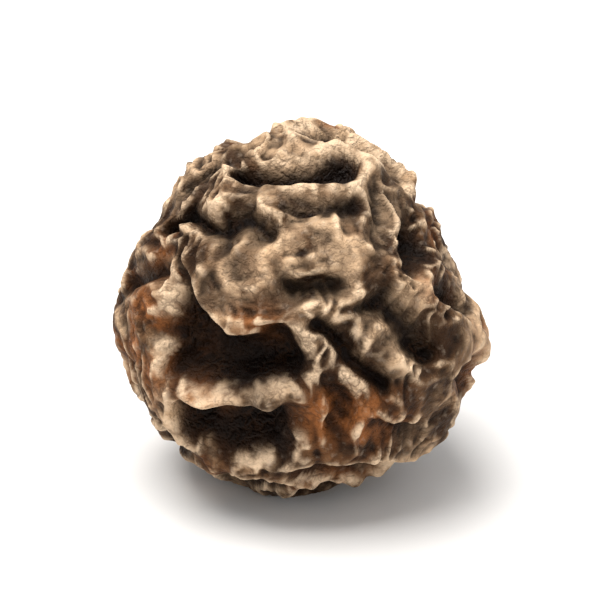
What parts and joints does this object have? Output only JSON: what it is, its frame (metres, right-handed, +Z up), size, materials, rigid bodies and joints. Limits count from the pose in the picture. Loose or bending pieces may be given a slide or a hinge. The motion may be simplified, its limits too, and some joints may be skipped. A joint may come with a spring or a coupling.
{
  "type": "black peppercorn",
  "caption": "Dried black peppercorn: a small near-round berry with deeply wrinkled skin, brown ridges round dark hollows.",
  "frame": {"origin": "on the surface that the corn rests on, under the middle of its box", "axes": "+Z up, +X to the right of the face that the picture shows, -Y towards the camera's side"},
  "size_m": [0.0052, 0.0052, 0.0051],
  "materials": {
    "skin": "matt, dry and wrinkled: tan-brown on the ridges, near black in the hollows"
  },
  "bodies": {
    "root": {"peppercorn": "skin"}
  },
  "joints": []
}
